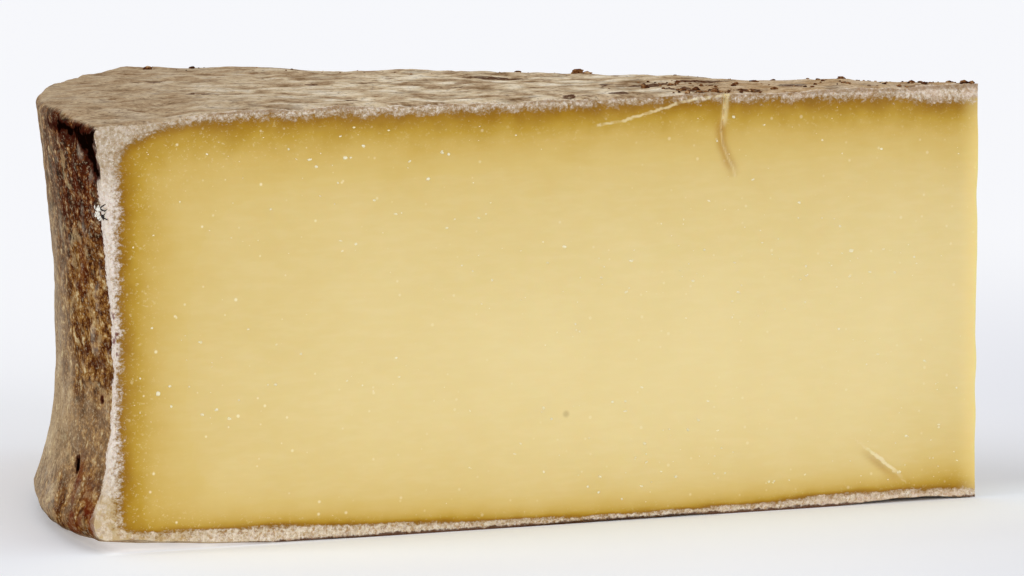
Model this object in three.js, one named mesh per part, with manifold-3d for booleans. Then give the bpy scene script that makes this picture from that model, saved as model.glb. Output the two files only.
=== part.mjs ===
import * as THREE from 'three';
import Module from 'manifold-3d';

// A wedge of raclette cheese, about an eighth of a wheel, standing on its underside.
// Millimetres, +Z up. The tip, on the axis of the old wheel, points to +X. The heel, a
// stretch of the wheel's outer wall, faces -X. The two cut faces run from the tip to the
// ends of the heel, the front one on the -Y side and the back one on the +Y side. The
// origin is on the ground, under the middle of the wedge's box.

// The wheel that the wedge was cut from
const WHEEL_RADIUS = 170;
const WHEEL_HEIGHT = 75;
const WEDGE_ANGLE = THREE.MathUtils.degToRad(46);
const TIP_X = WHEEL_RADIUS / 2;

// The wall: widest at its foot, hollow at its waist and flared again under the top edge
const FOOT_HEIGHT = 5.5;
const WAIST_HEIGHT = 33;
const WAIST_DEPTH = 4.1;
const BROW_SETBACK = 0.6;
const FOOT_FLARE = 2.7;
const BROW_FLARE = 1.7;
const BROW_ROUND = 1.6;
const FOOT_ROUND = 2.8;

// The top sags towards its edge. The underside lies flat between the two radii given
// here, and lifts off the ground towards the wall and a little at the tip.
const TOP_FLAT_RADIUS = 136;
const TOP_SAG = 2.3;
const TOP_SAG_POWER = 1.5;
const REST_INNER_RADIUS = 30;
const REST_OUTER_RADIUS = 125;
const TIP_LIFT = 0.8;
const WALL_LIFT = 2.2;

// The sag and the lift by the wall are in full at the front cut. From this share of the
// wedge's angle on, only this part of them is left.
const SLUMP_REACH = 0.2;
const SLUMP_LEFT = 0.4;

// The natural rind: broad bumps, finer lumps on them, and a few dents
const BUMP_HEIGHT = 0.35;
const BUMP_WIDTH = 15;
const LUMP_HEIGHT = 0.25;
const LUMP_WIDTH = 6;
const REST_MARGIN = 12;

// Dents in the rind. On the wall, height is above the ground. On the top, it is the
// wheel's height. Angle is from the front cut, as a share of the wedge's angle.
const DENTS = [
  { radius: 169, angle: 0.11, height: 70, width: 6, depth: 1.1 },
  { radius: 169, angle: 0.04, height: 67, width: 5, depth: 1.1 },
  { radius: 168, angle: 0.13, height: 13, width: 4, depth: 0.8 },
  { radius: 80, angle: 0.07, height: 75, width: 5, depth: 0.9 },
  { radius: 114, angle: 0.17, height: 75, width: 8, depth: 0.8 },
  { radius: 52, angle: 0.24, height: 75, width: 7, depth: 0.9 },
  { radius: 96, angle: 0.47, height: 75, width: 6, depth: 0.7 },
  { radius: 122, angle: 0.59, height: 75, width: 7, depth: 0.7 },
  { radius: 135, angle: 0.97, height: 75, width: 80, depth: 0.7 },
];

// The front cut face's marks, each by its distance from the tip and its height
const CRACK_PATH = [[51.5, 77], [52.6, 70.3], [52.1, 67.6], [51.3, 64.9], [50.2, 62.2], [49.2, 59.9]];
const CRACK_HALF_WIDTH = 0.8;
const CRACK_DEPTH = 4.5;
const NICK_PATH = [[23.2, 10.9], [19.6, 8.3], [16.6, 6], [14.5, 4]];
const NICK_HALF_WIDTH = 0.9;
const NICK_DEPTH = 1.6;
const FLAKE_PATH = [[77.1, 69.9], [70.4, 70.7], [64.5, 72.3], [57.7, 73.9], [48.9, 74.8]];
const FLAKE_DEPTH = 1.1;

// How finely the surface is divided
const FAN_ROWS = 50;
const WALL_ROWS = 24;
const BROW_ROWS = 3;
const FOOT_ROWS = 4;

const CHEESE_COLOR = '#e3cb8b';
const CHEESE_ROUGHNESS = 0.6;

const wasm = await Module();
wasm.setup();

// A repeatable value from -1 to 1 at a point of the whole-number lattice
function latticeValue(i, j, k) {
  let hash = Math.imul(i, 374761393) ^ Math.imul(j, 668265263) ^ Math.imul(k, 1440662683);
  hash = Math.imul(hash ^ (hash >>> 13), 1274126177);
  return ((hash ^ (hash >>> 16)) >>> 0) / 2147483648 - 1;
}

// Smooth noise from -1 to 1 over a point in space, one lump to each lattice cell
function valueNoise(x, y, z) {
  const cell = [Math.floor(x), Math.floor(y), Math.floor(z)];
  const ease = [x, y, z].map((value, axis) => THREE.MathUtils.smoothstep(value - cell[axis], 0, 1));
  let sum = 0;
  for (let corner = 0; corner < 8; corner++) {
    const step = [corner & 1, (corner >> 1) & 1, corner >> 2];
    const weight = step.reduce((product, s, axis) => product * (s ? ease[axis] : 1 - ease[axis]), 1);
    sum += weight * latticeValue(cell[0] + step[0], cell[1] + step[1], cell[2] + step[2]);
  }
  return sum;
}

// A place on the wheel: distance from its axis, angle from the wedge's middle, height
function wheelPoint(radius, angle, height) {
  return new THREE.Vector3(TIP_X - radius * Math.cos(angle), radius * Math.sin(angle), height);
}

// The wall's radius at a height between the foot and the brow
function wallRadius(height) {
  const waist = WHEEL_RADIUS - WAIST_DEPTH;
  if (height < WAIST_HEIGHT) {
    const below = (WAIST_HEIGHT - height) / (WAIST_HEIGHT - FOOT_HEIGHT);
    return waist + WAIST_DEPTH * below ** FOOT_FLARE;
  }
  const above = (height - WAIST_HEIGHT) / (WHEEL_HEIGHT - TOP_SAG - WAIST_HEIGHT);
  return waist + (WAIST_DEPTH - BROW_SETBACK) * above ** BROW_FLARE;
}

function topSag(radius) {
  const out = Math.max(0, radius - TOP_FLAT_RADIUS) / (WHEEL_RADIUS - TOP_FLAT_RADIUS);
  return TOP_SAG * out ** TOP_SAG_POWER;
}

function wallLift(radius) {
  const out = Math.max(0, radius - REST_OUTER_RADIUS) / (WHEEL_RADIUS - REST_OUTER_RADIUS);
  return WALL_LIFT * out ** 2;
}

function topHeight(radius) {
  return WHEEL_HEIGHT - topSag(radius);
}

function undersideHeight(radius) {
  const inner = Math.max(0, REST_INNER_RADIUS - radius) / REST_INNER_RADIUS;
  return TIP_LIFT * inner ** 2 + wallLift(radius);
}

// How far a point moves up or down where the sag and the lift are not in full
function slumpRelief(radius, angle, height) {
  const round = THREE.MathUtils.smoothstep(angle / WEDGE_ANGLE + 0.5, 0, SLUMP_REACH);
  const missing = (1 - SLUMP_LEFT) * round;
  const upShare = height / WHEEL_HEIGHT;
  return missing * (topSag(radius) * upShare - wallLift(radius) * (1 - upShare));
}

// The wheel's outline from the middle of its top, out over the edge, down the wall and
// back under to the middle. columns is how many steps divide the wedge's angle there.
function outlineRows() {
  const rows = [];
  const add = (radius, height, columns) => rows.push({ radius, height, columns });

  const topEdge = WHEEL_RADIUS - BROW_SETBACK - BROW_ROUND;
  for (let i = 0; i <= FAN_ROWS; i++) {
    const radius = topEdge * i / FAN_ROWS;
    add(radius, topHeight(radius), i);
  }

  const browHeight = topHeight(topEdge) - BROW_ROUND;
  for (let i = 1; i < BROW_ROWS; i++) {
    const turn = Math.PI / 2 * i / BROW_ROWS;
    const radius = topEdge + (wallRadius(browHeight) - topEdge) * Math.sin(turn);
    add(radius, browHeight + BROW_ROUND * Math.cos(turn), FAN_ROWS);
  }

  for (let i = 0; i <= WALL_ROWS; i++) {
    const height = browHeight + (FOOT_HEIGHT - browHeight) * i / WALL_ROWS;
    add(wallRadius(height), height, FAN_ROWS);
  }

  const underEdge = WHEEL_RADIUS - FOOT_ROUND;
  const lip = FOOT_HEIGHT - undersideHeight(underEdge);
  for (let i = 1; i < FOOT_ROWS; i++) {
    const turn = Math.PI / 2 * i / FOOT_ROWS;
    add(underEdge + FOOT_ROUND * Math.cos(turn), FOOT_HEIGHT - lip * Math.sin(turn), FAN_ROWS);
  }

  for (let i = FAN_ROWS; i >= 0; i--) {
    const radius = underEdge * i / FAN_ROWS;
    add(radius, undersideHeight(radius), i);
  }
  return rows;
}

// How far a point of the rind stands out from the smooth wheel
function rindRelief(point) {
  let relief = 0;
  for (const [height, width] of [[BUMP_HEIGHT, BUMP_WIDTH], [LUMP_HEIGHT, LUMP_WIDTH]]) {
    relief += height * valueNoise(point.x / width, point.y / width, point.z / width);
  }
  for (const dent of DENTS) {
    const middle = wheelPoint(dent.radius, WEDGE_ANGLE * (dent.angle - 0.5), dent.height);
    relief -= dent.depth * Math.exp(-4 * point.distanceToSquared(middle) / dent.width ** 2);
  }
  return relief;
}

// 0 where the underside rests on the ground and 1 where the rind is free of it
function freeOfGround(radius, facingDown) {
  if (!facingDown) return 1;
  const { smoothstep } = THREE.MathUtils;
  const towardsTip = 1 - smoothstep(radius, REST_INNER_RADIUS - REST_MARGIN, REST_INNER_RADIUS);
  const towardsWall = smoothstep(radius, REST_OUTER_RADIUS, REST_OUTER_RADIUS + REST_MARGIN);
  return Math.max(towardsTip, towardsWall);
}

// The outline's points turned round the axis, moved along the outline's normal by the
// relief, so that the points on a cut face stay in the plane of that cut
function rindPoints(rows) {
  const points = [];
  rows.forEach((row, index) => {
    const before = rows[Math.max(0, index - 1)];
    const after = rows[Math.min(rows.length - 1, index + 1)];
    const outward = new THREE.Vector2(before.height - after.height, after.radius - before.radius).normalize();
    if (row.radius === 0) outward.set(0, Math.sign(outward.y));
    for (let column = 0; column <= row.columns; column++) {
      const angle = row.columns ? WEDGE_ANGLE * (column / row.columns - 0.5) : 0;
      const relief = rindRelief(wheelPoint(row.radius, angle, row.height))
        * freeOfGround(row.radius, outward.y < -0.9);
      const radius = row.radius + relief * outward.x;
      const height = row.height + relief * outward.y + slumpRelief(row.radius, angle, row.height);
      points.push(wheelPoint(radius, angle, Math.max(0, height)));
    }
  });
  return points;
}

// Triangles between two chains of points that run side by side, split evenly where one
// has more points. Seen from outside, the first is on the right and both run upwards.
function stitch(first, second) {
  const triangles = [];
  let i = 0;
  let j = 0;
  while (i + 1 < first.length || j + 1 < second.length) {
    const firstShare = (i + 1) / (first.length - 1);
    const secondShare = (j + 1) / (second.length - 1);
    if (j + 1 < second.length && (i + 1 === first.length || secondShare <= firstShare)) {
      triangles.push([first[i], second[j + 1], second[j]]);
      j++;
    } else {
      triangles.push([first[i], first[i + 1], second[j]]);
      i++;
    }
  }
  return triangles;
}

// The upright chains of points that divide one cut face, from the tip to the rind of the
// wall. The last but one gets as many points as the wall has, added to the list.
function cutChains(edge, points) {
  const chains = [];
  for (let i = 0; i <= FAN_ROWS; i++) chains.push([edge[i], edge[edge.length - 1 - i]]);
  const wall = edge.slice(FAN_ROWS, edge.length - FAN_ROWS);
  const [top, bottom] = chains[FAN_ROWS - 1];
  const inner = wall.slice(1, -1).map((corner, index) => {
    const share = (index + 1) / (wall.length - 1);
    return points.push(points[top].clone().lerp(points[bottom], share)) - 1;
  });
  chains[FAN_ROWS - 1] = [top, ...inner, bottom];
  chains[FAN_ROWS] = wall;
  return chains;
}

// A closed solid from its points and its outward triangles
function solidFrom(points, triangles) {
  const solid = new wasm.Manifold(new wasm.Mesh({
    numProp: 3,
    vertProperties: new Float32Array(points.flatMap((point) => point.toArray())),
    triVerts: new Uint32Array(triangles.flat()),
  }));
  if (solid.volume() < 0) throw new Error('a solid is inside out');
  return solid;
}

function wedgeBody() {
  const rows = outlineRows();
  const points = rindPoints(rows);
  const triangles = [];

  const chains = [];
  let start = 0;
  for (const row of rows) {
    chains.push(Array.from({ length: row.columns + 1 }, (_, column) => start + column));
    start += row.columns + 1;
  }
  for (let i = 0; i + 1 < chains.length; i++) triangles.push(...stitch(chains[i], chains[i + 1]));

  const front = cutChains(chains.map((chain) => chain[0]), points);
  const back = cutChains(chains.map((chain) => chain[chain.length - 1]), points);
  for (let i = 0; i < FAN_ROWS; i++) {
    triangles.push(...stitch(front[i + 1], front[i]), ...stitch(back[i], back[i + 1]));
  }
  return solidFrom(points, triangles);
}

// A place by the front cut: distance from the tip, height, and depth into the cheese
function frontCutPoint(distance, height, depth) {
  const angle = WEDGE_ANGLE / 2;
  const point = wheelPoint(distance, -angle, height);
  return point.add(new THREE.Vector3(-Math.sin(angle), Math.cos(angle), 0).multiplyScalar(depth));
}

// A solid with three edges that run through the same steps, closed at both ends
function threeEdgedBlade(sections) {
  const triangles = [[0, 1, 2]];
  for (let section = 0; section + 1 < sections.length; section++) {
    for (let edge = 0; edge < 3; edge++) {
      const a = section * 3 + edge;
      const b = section * 3 + (edge + 1) % 3;
      triangles.push([a, a + 3, b], [b, a + 3, b + 3]);
    }
  }
  const last = (sections.length - 1) * 3;
  triangles.push([last, last + 2, last + 1]);
  return solidFrom(sections.flat(), triangles);
}

// A groove in the front cut along a path, tapering to nothing at the path's last point,
// and at its first point too where taperBoth says so
function grooveBlade(path, halfWidth, depth, taperBoth) {
  const proud = 1;
  const last = path.length - 1;
  return threeEdgedBlade(path.map(([distance, height], index) => {
    const along = index / last;
    const size = taperBoth ? Math.sin(Math.PI * (0.05 + 0.9 * along)) : 1 - 0.85 * along;
    const before = path[Math.max(0, index - 1)];
    const after = path[Math.min(last, index + 1)];
    const side = new THREE.Vector2(before[1] - after[1], after[0] - before[0]).normalize();
    const mouth = side.multiplyScalar(halfWidth * size * (1 + proud / (depth * size)));
    return [
      frontCutPoint(distance - mouth.x, height - mouth.y, -proud),
      frontCutPoint(distance, height, depth * size),
      frontCutPoint(distance + mouth.x, height + mouth.y, -proud),
    ];
  }));
}

// The thin flake that broke off the top edge of the front cut, above a line on its face
function flakeBlade() {
  const above = WHEEL_HEIGHT + 3;
  const last = FLAKE_PATH.length - 1;
  return threeEdgedBlade(FLAKE_PATH.map(([distance, height], index) => {
    const depth = 0.2 + FLAKE_DEPTH * Math.sin(Math.PI * index / last);
    return [
      frontCutPoint(distance, height, -0.1),
      frontCutPoint(distance, above, -2),
      frontCutPoint(distance, above, depth),
    ];
  }));
}

function geometryOf(solid) {
  const mesh = solid.getMesh();
  const geometry = new THREE.BufferGeometry();
  geometry.setAttribute('position', new THREE.Float32BufferAttribute(mesh.vertProperties, mesh.numProp));
  geometry.setIndex(new THREE.Uint32BufferAttribute(mesh.triVerts, 1));
  geometry.computeVertexNormals();
  return geometry;
}

function cheeseWedge() {
  const solid = wedgeBody()
    .subtract(flakeBlade())
    .subtract(grooveBlade(CRACK_PATH, CRACK_HALF_WIDTH, CRACK_DEPTH, false))
    .subtract(grooveBlade(NICK_PATH, NICK_HALF_WIDTH, NICK_DEPTH, true));
  const material = new THREE.MeshStandardMaterial({
    color: CHEESE_COLOR,
    roughness: CHEESE_ROUGHNESS,
    metalness: 0,
  });
  const mesh = new THREE.Mesh(geometryOf(solid), material);
  mesh.name = 'cheese_wedge';
  return mesh;
}

const wedge = new THREE.Group();
wedge.add(cheeseWedge());

export default wedge;
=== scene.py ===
import math

import bmesh
import bpy
import numpy as np
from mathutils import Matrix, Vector


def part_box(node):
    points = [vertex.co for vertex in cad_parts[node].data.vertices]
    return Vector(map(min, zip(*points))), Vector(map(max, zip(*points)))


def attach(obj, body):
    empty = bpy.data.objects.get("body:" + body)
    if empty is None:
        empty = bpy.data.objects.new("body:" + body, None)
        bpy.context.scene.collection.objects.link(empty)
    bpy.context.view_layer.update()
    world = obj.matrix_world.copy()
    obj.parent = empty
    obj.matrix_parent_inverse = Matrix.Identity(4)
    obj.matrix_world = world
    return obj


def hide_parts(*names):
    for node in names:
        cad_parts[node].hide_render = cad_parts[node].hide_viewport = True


# A wedge of raclette cheese in a white studio: the paste with its crystals, the pale band
# under the rind, the dry natural rind with its stains, crumbs and mould, and a small crack,
# a flake and a nick in the front cut. Forms are worked out in millimetres and made in metres.

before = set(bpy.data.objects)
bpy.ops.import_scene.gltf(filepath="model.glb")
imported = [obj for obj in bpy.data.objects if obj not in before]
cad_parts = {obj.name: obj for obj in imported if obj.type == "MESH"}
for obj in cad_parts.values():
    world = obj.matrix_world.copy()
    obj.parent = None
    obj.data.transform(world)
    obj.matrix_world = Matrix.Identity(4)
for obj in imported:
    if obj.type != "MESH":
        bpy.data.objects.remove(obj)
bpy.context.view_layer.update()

MM = 0.001
SEED = 11

# The wheel that the wedge was cut from. The wedge's own box gives the tip.
WHEEL_RADIUS = 170.0
WHEEL_HEIGHT = 75.0
WEDGE_ANGLE = math.radians(46)
TIP_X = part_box("cheese_wedge")[1][0] / MM

# The wall's hollow outline
FOOT_HEIGHT = 5.5
WAIST_HEIGHT = 33.0
WAIST_DEPTH = 4.1
BROW_SETBACK = 0.6
FOOT_FLARE = 2.7
BROW_FLARE = 1.7
BROW_ROUND = 1.6
FOOT_ROUND = 2.8

# The sagging edge of the top, and how the underside lifts off the ground
TOP_FLAT_RADIUS = 136.0
TOP_SAG = 2.3
TOP_SAG_POWER = 1.5
REST_INNER_RADIUS = 30.0
REST_OUTER_RADIUS = 125.0
REST_MARGIN = 12.0
TIP_LIFT = 0.5
WALL_LIFT = 2.2
SLUMP_REACH = 0.2
SLUMP_LEFT = 0.4

# The rind's relief as (height, width) of its lumps: the broad ones, then the fine ones
BROAD_LUMPS = [(0.35, 15.0), (0.25, 6.0)]
FINE_LUMPS = [(0.17, 3.4), (0.09, 1.6)]

# The rind rolls over at the edges of the cuts, where the knife dragged it, mostly on the top
EDGE_DROP = 0.7
EDGE_DROP_ON_WALL = 0.15
EDGE_REACH = 1.1
EDGE_CLEAR_OF_TIP = 16.0

# Dents in the rind: radius, share of the wedge's angle from the front cut, height, width
# and depth
DENTS = [
    (169, 0.11, 70, 6, 1.1),
    (169, 0.04, 67, 5, 1.1),
    (168, 0.13, 13, 4, 0.8),
    (80, 0.07, 75, 5, 0.9),
    (114, 0.17, 75, 8, 0.8),
    (52, 0.24, 75, 7, 0.9),
    (96, 0.47, 75, 6, 0.7),
    (122, 0.59, 75, 7, 0.7),
    (135, 0.97, 75, 80, 0.7),
]

# Marks in the front cut, as (distance from the tip, height)
CRACK_PATH = [(50.5, 76), (51.0, 71), (51.4, 68.5), (51.1, 66), (50.1, 63.5), (49.1, 61.7), (48.7, 60)]
NICK_PATH = [(23.2, 10.9), (19.6, 8.3), (16.6, 6), (14.5, 4)]
FLAKE_PATH = [(77.1, 69.9), (70.4, 70.7), (64.5, 72.3), (57.7, 73.9), (48.9, 74.8)]

PASTE_DARK_SPOT = (81.6, 19.5)

# Brown marks on the top: radius, share of the wedge's angle, and how long and deep they are
TOP_MARKS = [
    (80, 0.05, 2.2, 5), (122.5, 0.59, 5, 3), (112, 0.59, 3.5, 3), (96, 0.47, 4, 3.5),
    (114, 0.17, 4, 3), (53, 0.19, 6, 7), (61, 0.5, 7, 7), (48, 0.65, 6, 6), (43.5, 0.14, 3, 4),
    (138, 0.3, 5, 3), (150, 0.62, 6, 4), (88, 0.8, 6, 4), (34, 0.35, 3, 2.5), (70, 0.1, 3, 2),
]

# How finely the mesh is divided: finer where the marks are, and round the wheel finer
# towards the cuts than between them
COARSE_STEP = 0.95
FINE_RADII = [(11.0, 25.0, 0.42), (44.0, 57.0, 0.34), (57.0, 79.0, 0.48)]
FINE_HEIGHTS = [(0.0, 15.0, 0.5), (15.0, 45.0, 0.75), (56.0, 76.0, 0.42)]
ROUND_STEP = 0.84
ROUND_CROWDING = 0.5
UNDERSIDE_STEP = 3.2

# The border between the paste and the pale band on the cut faces, its corners as (width,
# height), and how much paler and faster paling the paste is at the underside. The smaller
# SIDES_TOGETHER, the more two near sides darken the paste together.
PASTE_RADIUS = 165.3
PASTE_TOP = 73.6
PASTE_BOTTOM = 1.2
TOP_CORNER = (19.0, 7.5)
BOTTOM_CORNER = (5.0, 5.0)
UNDERSIDE_START = 2.2
UNDERSIDE_PALING = 2.6
SIDES_TOGETHER = 1.3


# Noise and easing

def lattice_value(i, j, k):
    """A repeatable value from -1 to 1 for each point of the whole-number lattice."""
    parts = [axis.astype(np.int64).astype(np.uint32) for axis in (i, j, k)]
    primes = (374761393, 668265263, 1440662683)
    mixed = [part * np.uint32(prime) for part, prime in zip(parts, primes)]
    value = mixed[0] ^ mixed[1] ^ mixed[2]
    value = (value ^ (value >> np.uint32(13))) * np.uint32(1274126177)
    return (value ^ (value >> np.uint32(16))).astype(float) / 2147483648 - 1


def value_noise(points, width):
    """Smooth noise from -1 to 1 over points in space, one lump to each cell of that width."""
    scaled = points / width
    cell = np.floor(scaled)
    ease = smoothstep(scaled - cell, 0, 1)
    total = np.zeros(len(points))
    for corner in range(8):
        step = np.array([corner & 1, (corner >> 1) & 1, corner >> 2])
        weight = np.prod(np.where(step, ease, 1 - ease), axis=1)
        total += weight * lattice_value(*(cell + step).T)
    return total


def smoothstep(value, low, high):
    share = np.clip((value - low) / (high - low), 0, 1)
    return share * share * (3 - 2 * share)


def bell(distance, width):
    return np.exp(-(distance / width) ** 2)


# The wheel's form

def wheel_points(radius, angle, height):
    """Places on the wheel: distance from its axis, angle from the wedge's middle, height."""
    return np.stack([TIP_X - radius * np.cos(angle), radius * np.sin(angle), height + 0 * angle], axis=-1)


def wall_radius(height):
    waist = WHEEL_RADIUS - WAIST_DEPTH
    below = np.clip((WAIST_HEIGHT - height) / (WAIST_HEIGHT - FOOT_HEIGHT), 0, 1)
    above = np.clip((height - WAIST_HEIGHT) / (WHEEL_HEIGHT - TOP_SAG - WAIST_HEIGHT), 0, 1)
    return waist + WAIST_DEPTH * below ** FOOT_FLARE + (WAIST_DEPTH - BROW_SETBACK) * above ** BROW_FLARE


def top_sag(radius):
    out = np.maximum(0, radius - TOP_FLAT_RADIUS) / (WHEEL_RADIUS - TOP_FLAT_RADIUS)
    return TOP_SAG * out ** TOP_SAG_POWER


def wall_lift(radius):
    out = np.maximum(0, radius - REST_OUTER_RADIUS) / (WHEEL_RADIUS - REST_OUTER_RADIUS)
    return WALL_LIFT * out ** 2


def underside_height(radius):
    inner = np.maximum(0, REST_INNER_RADIUS - radius) / REST_INNER_RADIUS
    return TIP_LIFT * inner ** 2 + wall_lift(radius)


def slump_relief(radius, angle, height):
    """How far a point moves up or down where the sag and the lift are not in full."""
    missing = (1 - SLUMP_LEFT) * smoothstep(angle / WEDGE_ANGLE + 0.5, 0, SLUMP_REACH)
    up_share = height / WHEEL_HEIGHT
    return missing * (top_sag(radius) * up_share - wall_lift(radius) * (1 - up_share))


def lumps(points, sizes):
    return sum(height * value_noise(points, width) for height, width in sizes)


def dents(points):
    total = np.zeros(len(points))
    for radius, share, height, width, depth in DENTS:
        middle = wheel_points(radius, WEDGE_ANGLE * (share - 0.5), height)
        total += depth * np.exp(-4 * ((points - middle) ** 2).sum(axis=1) / width ** 2)
    return total


def cut_distance(radius, angle):
    return radius * (WEDGE_ANGLE / 2 - np.abs(angle))


def edge_drop(points, radius, angle, wall_share):
    """How far the rind is worn back at the edges of the cuts, unevenly along them."""
    from_cut = cut_distance(radius, angle)
    most = EDGE_DROP + (EDGE_DROP_ON_WALL - EDGE_DROP) * wall_share
    uneven = 0.55 + 0.45 * value_noise(points, 7.0) + 0.35 * value_noise(points, 1.9)
    clear = smoothstep(radius, 0, EDGE_CLEAR_OF_TIP)
    return most * np.maximum(uneven, 0) * bell(from_cut, EDGE_REACH) * clear


def free_of_ground(radius, facing_down):
    """0 where the underside rests on the ground and 1 where the rind is free of it."""
    towards_tip = 1 - smoothstep(radius, REST_INNER_RADIUS - REST_MARGIN, REST_INNER_RADIUS)
    towards_wall = smoothstep(radius, REST_OUTER_RADIUS, REST_OUTER_RADIUS + REST_MARGIN)
    return np.where(facing_down, np.maximum(towards_tip, towards_wall), 1.0)


# The marks in the cut faces

def path_distance(distance, height, path):
    """Distance to a path, share of the path's length at the nearest place, and which side."""
    nearest = np.full(len(distance), 1e9)
    share = np.zeros(len(distance))
    side = np.zeros(len(distance))
    corners = np.array(path, float)
    lengths = np.linalg.norm(np.diff(corners, axis=0), axis=1)
    done = 0.0
    for start, end, length in zip(corners[:-1], corners[1:], lengths):
        along = (end - start) / length
        dx, dz = distance - start[0], height - start[1]
        reach = np.clip(dx * along[0] + dz * along[1], 0, length)
        off = np.hypot(dx - reach * along[0], dz - reach * along[1])
        closer = off < nearest
        nearest = np.where(closer, off, nearest)
        share = np.where(closer, (done + reach) / lengths.sum(), share)
        side = np.where(closer, np.sign(dx * along[1] - dz * along[0]), side)
        done += length
    return nearest, share, side


def front_marks(distance, height):
    """Depth into the front cut, how pale or stained each place is, its offset from the edge
    of the flake or the nick, and how strong that edge is."""
    off, share, side = path_distance(distance, height, CRACK_PATH)
    fade = np.clip(1.08 - share, 0, 1)
    torn = 1 - smoothstep(share, 0.34, 0.46)
    crack = 0.9 * fade * bell(off + 0.5 * (side < 0), 0.55) - 0.3 * torn * bell(off - 0.5, 0.4)
    crack += 0.2 * fade * bell(off, 1.7)
    pale = np.maximum(torn * bell(off - 0.3 * (side > 0), 0.38), 0.5 * bell(off, 0.24) * (share < 0.99))
    stain = bell(off - 0.5 * (side < 0), 0.8) * smoothstep(share, 0.25, 0.45)
    stain = stain * (1 - 0.7 * smoothstep(share, 0.8, 1.0)) * (share < 0.99)

    off, share, side = path_distance(distance, height, FLAKE_PATH)
    above = np.where(side > 0, off, -off)
    inside = smoothstep(share, 0.0, 0.08) * (1 - smoothstep(share, 0.93, 1.0))
    flake = inside * (0.35 * smoothstep(above, -0.15, 0.35) + 0.22 * np.clip(above, 0, 4))

    off, share, side = path_distance(distance, height, NICK_PATH)
    below = np.where(side < 0, off, -off)
    ends = np.sin(math.pi * np.clip(share, 0.02, 0.98))
    nick = ends * 0.75 * smoothstep(below, -0.4, 0.8) * bell(np.maximum(below, 0), 2.0)
    stain = np.maximum(stain, 0.7 * ends * bell(below - 1.0, 0.7))
    by_nick = distance < NICK_PATH[0][0] + 8
    edge_offset = np.where(by_nick, 0.85 * below, above)
    edge = np.where(by_nick, np.sqrt(ends) * (off < 3), 0.55 * inside)
    return crack + flake + nick, pale, stain, edge_offset, edge


def round_corner(from_side, from_end, size):
    """The smaller of two depths, rounded off where both are less than the corner's size."""
    side = np.clip(1 - from_side / size[0], 0, None)
    end = np.clip(1 - from_end / size[1], 0, None)
    both = side ** 2 + end ** 2 + 1e-9
    reach = (size[0] * side ** 2 + size[1] * end ** 2) / both
    inside = (side > 0) & (end > 0)
    return np.where(inside, (1 - np.sqrt(both)) * reach, np.minimum(from_side, from_end))


def paste_depth(distance, height):
    """How deep a place on a cut face lies inside the paste's border, in millimetres."""
    from_wall = PASTE_RADIUS - distance
    from_top = PASTE_TOP + 0.5 * bell(distance - 60, 15) - 1.3 * (1 - smoothstep(distance, 8, 20)) - height
    from_bottom = height - PASTE_BOTTOM - 1.1 * bell(distance - 22, 22) - 2.1 * smoothstep(distance, 75, 155)
    ease = 1 - 0.65 * bell(distance - 3, 13)
    paler = from_bottom * (1 + (UNDERSIDE_PALING - 1) * ease) + UNDERSIDE_START * ease * smoothstep(from_bottom, 0, 0.6)
    from_bottom = np.where(from_bottom > 0, paler, from_bottom)
    upper = round_corner(from_wall, from_top, TOP_CORNER)
    lower = round_corner(from_wall, from_bottom, BOTTOM_CORNER)
    nearest = np.minimum(upper, lower)
    sides = np.maximum(0.01, np.stack([from_wall, from_top, from_bottom]))
    together = (sides ** -SIDES_TOGETHER).sum(axis=0) ** (-1 / SIDES_TOGETHER)
    return np.where(nearest > 0, np.minimum(nearest, together), nearest)


def rind_depth(distance, height):
    """How far a place on a cut face is from the wedge's outside, in millimetres."""
    from_wall = wall_radius(height) - distance
    from_top = WHEEL_HEIGHT - SLUMP_LEFT * top_sag(distance) - EDGE_DROP * 0.6 - height
    from_bottom = height - SLUMP_LEFT * wall_lift(distance)
    return np.minimum(np.minimum(from_wall, from_top), from_bottom)


# Small hollows under the edge of the front cut: distance from the tip, width and height
GROUND_GAPS = [(74.0, 3.5, 0.5), (60.5, 5.0, 0.55), (127.0, 3.0, 0.3)]
GAP_REACH = 6.0


def ground_gaps(radius, angle):
    """How far the underside lifts off the ground in the small hollows."""
    lift = sum(height * bell(radius - distance, width) for distance, width, height in GROUND_GAPS)
    return lift * (1 - smoothstep(radius * (angle + WEDGE_ANGLE / 2), 0, GAP_REACH))


# The wedge's mesh

def ladder(start, stop, step, fine):
    """Positions from start to stop, closer together in the stretches that fine names."""
    positions = [start]
    while positions[-1] < stop:
        here = positions[-1]
        steps = [size for low, high, size in fine if low <= here < high]
        positions.append(here + min(steps + [step]))
    positions = np.array(positions)
    return start + (positions - start) * (stop - start) / (positions[-1] - start)


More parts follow.
